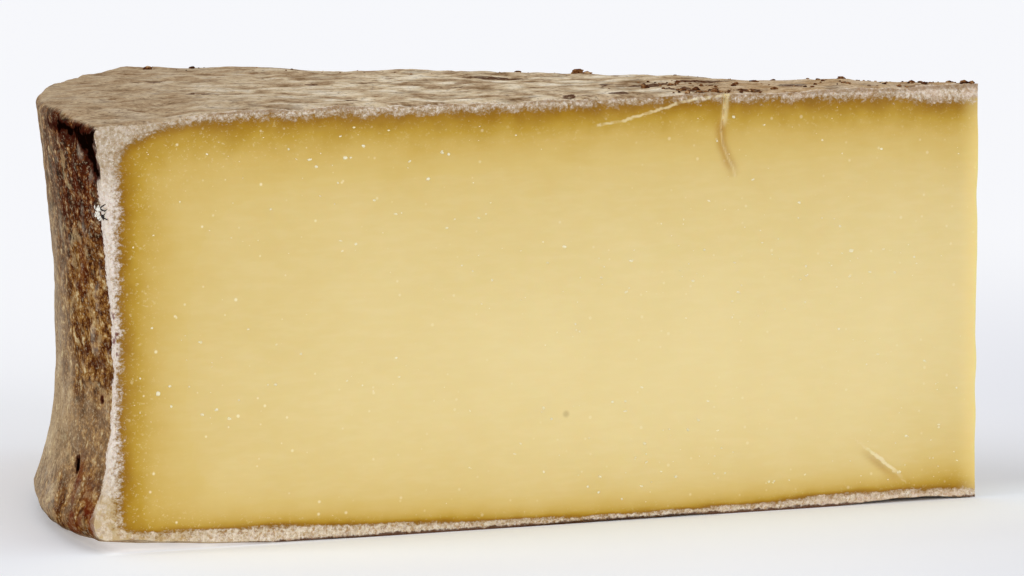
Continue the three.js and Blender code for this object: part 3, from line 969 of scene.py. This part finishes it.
def powder_over(g, color):
    """Lays the pale powder along the edges of the cuts over a colour, widest on the wall."""
    edge = g.math("ADD", g.attribute("from_cut"), g.wobble(0.8, 0.7, detail=3.0, roughness=0.7))
    edge = g.math("ADD", edge, g.wobble(5.0, 0.6))
    width = g.fade(g.attribute("wall_share"), 0.0, 1.0, 0.5, 1.5)
    powdered = g.fade(g.math("SUBTRACT", edge, width), 0.25, -0.25, 0.0, 0.92)
    return g.mix(g.times(powdered, g.fade(height_of(g), 0.001, 0.004)), color, band_color(g))


def make_rind():
    g = Graph("rind")
    color = g.mix(g.attribute("wall_share"), top_color(g), wall_color(g))
    relief = g.attribute("fine_relief")
    # Painted shade in the fine relief's hollows and painted highlight on its bumps.
    color = g.mix(g.fade(relief, 0.0, -0.18, 0.0, 0.4), color, "#4a2d16")
    color = g.mix(g.fade(relief, 0.05, 0.2, 0.0, 0.25), color, "#e3d6bd")
    grain = g.noise(0.55, 3.0, 0.7, place=g.stretched(0.6, 0.6, 1.0))
    # Pale on the grain's ridges and dark in its hollows, the same noise as its bump: partly speckle, partly painted
    # highlight and shade.
    color = g.mix(g.fade(grain, 0.53, 0.68, 0.0, 0.3), color, "#ead9b2")
    color = g.mix(g.fade(grain, 0.47, 0.34, 0.0, 0.5), color, "#381e0d")
    color = powder_over(g, color)
    normal = g.bump(g.noise(1.4, 4.0, 0.7), 0.4, 0.8)
    return g.finish({
        "Base Color": crimson_over(g, dark_patch_over(g, color)),
        "Roughness": 0.95,
        "Specular IOR Level": 0.0,
        "Normal": g.bump(grain, 0.2, 0.7, normal),
    })


def make_crystal_material():
    g = Graph("crystal")
    return g.finish({
        "Base Color": g.mix(g.fade(g.noise(0.3), 0.35, 0.65), "#ebd9a2", "#f8ecc8"),
        "Roughness": 0.6,
        "Specular IOR Level": 0.2,
        "Subsurface Weight": 0.3,
        "Subsurface Radius": (1.0, 0.8, 0.5),
        "Subsurface Scale": 0.0006,
    })


def make_crumb_material():
    g = Graph("crumb")
    stops = [(0.35, "#2c1409"), (0.48, "#5d3417"), (0.6, "#93693f"), (0.7, "#c4a882")]
    return g.finish({
        "Base Color": g.ramp(g.noise(1.4, 3.0, 0.7), stops),
        "Roughness": 0.95,
        "Specular IOR Level": 0.1,
        "Normal": g.bump(g.noise(0.3, 3.0, 0.7), 0.1, 0.7),
    })


def make_mould_material():
    g = Graph("mould")
    return g.finish({
        "Base Color": g.ramp(g.noise(0.5, 3.0, 0.6), [(0.3, "#d6cfbd"), (0.6, "#fbf8ee")]),
        "Roughness": 1.0,
        "Normal": g.bump(g.noise(0.25, 3.0, 0.7), 0.15, 0.8),
    })


def make_hair_material():
    g = Graph("mould_hair")
    return g.finish({"Base Color": g.mix(g.noise(0.6), "#0d0907", "#2e2118"), "Roughness": 0.8})


# Small loose forms

def ball_mesh(subdivisions):
    """A ball of radius 1 as points and triangles."""
    made = bmesh.new()
    bmesh.ops.create_icosphere(made, subdivisions=subdivisions, radius=1.0)
    points = np.array([vertex.co[:] for vertex in made.verts])
    faces = np.array([[vertex.index for vertex in face.verts] for face in made.faces])
    made.free()
    return points, faces


def scatter(name, places, material, roughness, subdivisions, rng):
    """One object of many small lumps. Each place is a middle, a size along three directions,
    and those directions as the rows of a matrix."""
    ball, faces = ball_mesh(subdivisions)
    all_points = []
    all_faces = []
    for number, (middle, size, directions) in enumerate(places):
        uneven = 1 + roughness * rng.uniform(-1, 1, (len(ball), 1))
        all_points.append((ball * uneven * size) @ directions + middle)
        all_faces.append(faces + number * len(ball))
    piece = mesh_object(name, np.concatenate(all_points), np.concatenate(all_faces), [material])
    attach(piece, "root")


def turned(directions, angle):
    """The same directions with the first two turned about the third."""
    turn = np.array([[math.cos(angle), math.sin(angle), 0], [-math.sin(angle), math.cos(angle), 0], [0, 0, 1]])
    return turn @ directions


# The crystals that stand out most in the front cut: distance from the tip, height and width
MAIN_CRYSTALS = [
    (145, 22, 1.1), (151, 20, 0.8), (132, 14, 1.1), (127, 9, 0.9), (144, 11, 0.7), (144, 6.5, 0.8),
    (115, 46, 1.0), (114, 56, 0.8), (124, 50, 0.9), (134, 50, 0.7), (130, 66, 0.7), (120, 68, 0.8),
    (114, 31, 0.9), (100, 21, 0.8), (100, 11, 0.9), (86, 9.5, 1.1), (142, 42, 0.7), (158, 27, 0.9),
    (86, 60, 0.6), (104, 66, 0.7), (82, 49, 0.8), (69, 46, 0.7), (70, 40.5, 0.8), (67, 23.5, 0.8),
    (75, 8, 0.7), (54, 56, 1.0), (36, 55, 0.7), (48, 39.5, 0.6), (25.5, 46, 1.0), (19, 46, 0.7),
    (28, 32, 0.6), (33, 14.5, 0.9), (54, 26, 0.6), (52, 15, 0.7), (41, 5, 0.6), (31.5, 66, 0.7),
]
SPARE_CRYSTALS = 560


def crystal_places(rng):
    places = []
    tip = np.array([TIP_X, 0, 0])
    for sign in (-1, 1):
        away, inwards = cut_axes(sign)
        spots = list(MAIN_CRYSTALS) if sign < 0 else []
        while len(spots) < SPARE_CRYSTALS:
            distance = rng.uniform(3, 163)
            height = rng.uniform(3, 72)
            if paste_depth(np.array(distance), np.array(height)) > 1.5:
                spots.append((distance, height, 0.22 + 0.5 * rng.random() ** 2.2))
        for distance, height, width in spots:
            middle = tip + away * distance + np.array([0, 0, height]) + inwards * 0.1 * width
            size = 0.5 * width * np.array([rng.uniform(0.8, 1.5), rng.uniform(0.6, 1.0), 0.28])
            directions = turned(np.stack([away, [0, 0, 1], inwards]), rng.uniform(-0.5, 0.5))
            places.append((middle, size, directions))
    return places


# Crumbs on the top: radius, share of the wedge's angle from the front cut, and width
MAIN_CRUMBS = [
    (161, 0.93, 1.5), (153, 0.95, 1.3), (89, 0.985, 1.6), (77, 0.985, 2.4), (75, 0.98, 1.5),
    (39, 0.98, 1.7), (26, 0.98, 1.5), (17, 0.97, 1.4), (14, 0.96, 1.2), (21, 0.98, 1.0),
    (5.5, 0.9, 1.3), (2.6, 0.75, 1.5), (1.2, 0.5, 1.2), (80, 0.07, 1.4), (52, 0.3, 1.6),
]
SPARE_CRUMBS = 220


def crumb_places(rng):
    spots = list(MAIN_CRUMBS)
    while len(spots) < SPARE_CRUMBS:
        width = 0.3 + 0.8 * rng.random() ** 2
        kind = rng.random()
        if kind < 0.4:
            spots.append((rng.normal(53, 7), 0.02 + 0.7 * rng.random() ** 2, width * 1.2))
        elif kind < 0.75:
            spots.append((rng.uniform(2, 34), rng.uniform(0.04, 0.98), width * 0.9))
        else:
            spots.append((rng.uniform(30, 165), rng.uniform(0.9, 0.985), width * 0.5))
    places = []
    for radius, share, width in spots:
        middle = wheel_points(radius, WEDGE_ANGLE * (share - 0.5), 0.0)
        middle[2] = top_surface(middle) + 0.1 * width
        size = 0.5 * width * np.array([rng.uniform(0.8, 1.5), rng.uniform(0.6, 1.0), rng.uniform(0.35, 0.7)])
        places.append((middle, size, turned(np.eye(3), rng.uniform(0, math.pi))))
    return places


def top_surface(place):
    """The height of the rind at a place on the top."""
    radius = math.hypot(place[0] - TIP_X, place[1])
    angle = math.atan2(place[1], TIP_X - place[0])
    smooth = wheel_points(radius, angle, WHEEL_HEIGHT - float(top_sag(radius)))[None]
    relief = lumps(smooth, BROAD_LUMPS + FINE_LUMPS) - dents(smooth) - edge_drop(smooth, radius, angle, 0.0)
    return float(smooth[0, 2] + relief[0] + slump_relief(radius, angle, smooth[0, 2]))


# The tuft of white mould beside the front cut, in millimetres round the wall and up it
MOULD_AROUND = 3.2
MOULD_HEIGHT = 58.2
MOULD_LUMPS = 60
MOULD_HAIRS = 8


def wall_place(around, height, out=0.0):
    """A place on the wall: millimetres round it from the front cut, height, and how far out."""
    angle = around / WHEEL_RADIUS - WEDGE_ANGLE / 2
    return wheel_points(float(wall_radius(height)) + out, angle, height)


def mould_places(rng):
    places = []
    for _ in range(MOULD_LUMPS):
        around = max(0.3, MOULD_AROUND + rng.normal(0, 0.8))
        middle = wall_place(around, MOULD_HEIGHT + rng.normal(0, 0.55), 0.1)
        places.append((middle, rng.uniform(0.12, 0.4, 3), np.eye(3)))
    return places


def make_hairs(material, rng):
    """A few stiff dark hairs of mould across the edge of the front cut, as thin tubes."""
    points = []
    faces = []
    sides = 5
    steps = 7
    away, inwards = cut_axes(-1)
    for _ in range(MOULD_HAIRS):
        height = MOULD_HEIGHT + rng.uniform(-0.9, 1.1)
        start = wall_place(0.0, height, 0.7) - inwards * 0.2
        lean = rng.uniform(-0.8, 0.8)
        bend = rng.uniform(-0.6, 0.6)
        length = rng.uniform(0.5, 1.3)
        base = len(points)
        for step in range(steps):
            t = step / (steps - 1)
            place = start - away * length * t - inwards * 0.25 * math.sin(math.pi * t)
            place = place + np.array([0, 0, lean * t + bend * math.sin(2.6 * t)])
            width = 0.17 * (1 - 0.5 * t)
            for side in range(sides):
                turn = 2 * math.pi * side / sides
                points.append(place + width * (math.cos(turn) * np.array([0, 0, 1]) - math.sin(turn) * inwards))
        for step in range(steps - 1):
            for side in range(sides):
                a = base + step * sides + side
                b = base + step * sides + (side + 1) % sides
                faces.append((a, a + sides, b + sides, b))
        faces.append(tuple(base + side for side in range(sides)))
        faces.append(tuple(base + (steps - 1) * sides + side for side in reversed(range(sides))))
    piece = mesh_object("mould_hairs", points, faces, [material])
    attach(piece, "root")


# The studio

CAMERA_AZIMUTH = math.radians(-1.15)
CAMERA_ELEVATION = math.radians(6.17)
CAMERA_DISTANCE = 1.0626
CAMERA_TARGET = (0.0003, -0.0360, 0.0422)
CAMERA_LENS = 214.3
FLOOR_SIZE = 14.0
HEEL_CORNER_AT = 0.166


def make_camera():
    data = bpy.data.cameras.new("camera")
    data.sensor_width = 36.0
    data.lens = CAMERA_LENS
    data.clip_end = 100.0
    camera = bpy.data.objects.new("camera", data)
    bpy.context.scene.collection.objects.link(camera)
    away = Vector((
        math.sin(CAMERA_AZIMUTH) * math.cos(CAMERA_ELEVATION),
        -math.cos(CAMERA_AZIMUTH) * math.cos(CAMERA_ELEVATION),
        math.sin(CAMERA_ELEVATION),
    ))
    camera.location = Vector(CAMERA_TARGET) + away * CAMERA_DISTANCE
    camera.rotation_euler = (-away).to_track_quat("-Z", "Y").to_euler()
    bpy.context.scene.camera = camera


def make_floor():
    """A pale floor with painted light and shade: darker towards the front, a painted shadow to
    the right of the tip, painted light along the front cut and a painted glow by the heel's
    front corner.
    """
    g = Graph("floor")
    parts = g.node("ShaderNodeSeparateXYZ", {"Vector": g.place})
    # Painted shade: the floor darkens towards the front.
    color = g.mix(g.fade(parts.outputs["Y"], -0.3, 0.4), "#edeff4", "#f7f7f9")
    # Painted shadow: greyer to the right of the tip, where the wedge's shadow falls.
    painted_shadow_right = g.times(g.fade(parts.outputs["X"], 0.03, 0.13), g.fade(parts.outputs["Y"], 0.5, 0.1))
    color = g.mix(g.times(painted_shadow_right, 0.7), color, "#dcdde4")
    away, inwards = cut_axes(-1)
    from_cut = g.node("ShaderNodeVectorMath", {0: g.place, 1: tuple(inwards)}, operation="DOT_PRODUCT")
    in_front = g.math("SUBTRACT", TIP_X * MM * inwards[0], from_cut.outputs["Value"])
    # Painted light: the floor is lighter along the front cut, where the wedge shades it.
    painted_light_front = g.times(g.fade(in_front, 0.045, 0.0), g.fade(in_front, -0.02, 0.0))
    painted_light_front = g.times(painted_light_front, g.fade(parts.outputs["X"], -0.095, -0.055))
    color = g.mix(painted_light_front, color, "#f8fbff")
    # Painted glow: the floor gives off light in the shadow by the heel's front corner.
    corner = Vector((TIP_X * MM, 0, 0)) + Vector(away) * HEEL_CORNER_AT
    from_tip = g.distance_to((TIP_X * MM, 0, 0))
    outside = g.math("MAXIMUM", in_front, g.math("SUBTRACT", from_tip, HEEL_CORNER_AT))
    by_corner = g.fade(g.distance_to(corner), 0.055, 0.020)
    painted_glow = g.times(g.times(by_corner, g.fade(outside, 0.003, -0.003)), 0.5)
    material = g.finish({
        "Base Color": color,
        "Roughness": 1.0,
        "Specular IOR Level": 0.0,
        "Emission Color": linear("#f4f6fb"),
        "Emission Strength": painted_glow,
    })
    half = FLOOR_SIZE / 2 / MM
    corners = [(-half, -half, 0), (half, -half, 0), (half, half, 0), (-half, half, 0)]
    floor = mesh_object("floor", corners, [(0, 1, 2, 3)], [material], smooth=False)


def soft_sun(name, toward_light, strength, spread):
    """An even, soft light from far away, with the width of its source in degrees."""
    data = bpy.data.lights.new(name, "SUN")
    data.energy = strength
    data.angle = math.radians(spread)
    light = bpy.data.objects.new(name, data)
    bpy.context.scene.collection.objects.link(light)
    light.rotation_euler = Vector(toward_light).to_track_quat("Z", "Y").to_euler()


def make_lights():
    world = bpy.data.worlds.new("studio")
    world.use_nodes = True
    background = world.node_tree.nodes["Background"]
    background.inputs["Color"].default_value = (0.97, 0.98, 1.0, 1)
    background.inputs["Strength"].default_value = 0.74
    bpy.context.scene.world = world
    soft_sun("high_left", (-0.78, -0.2, 0.58), 1.05, 28.0)
    soft_sun("front_right", (0.45, -0.85, 0.32), 0.86, 40.0)
    bpy.context.scene.view_settings.view_transform = "Standard"


def main():
    make_camera()
    rng = np.random.default_rng(SEED)
    make_cheese(make_rind(), make_deep_paste(), make_rim_paste())
    scatter("crystals", crystal_places(rng), make_crystal_material(), 0.16, 2, rng)
    scatter("crumbs", crumb_places(rng), make_crumb_material(), 0.3, 2, rng)
    scatter("mould_tuft", mould_places(rng), make_mould_material(), 0.2, 2, rng)
    make_hairs(make_hair_material(), rng)
    make_floor()
    make_lights()


main()
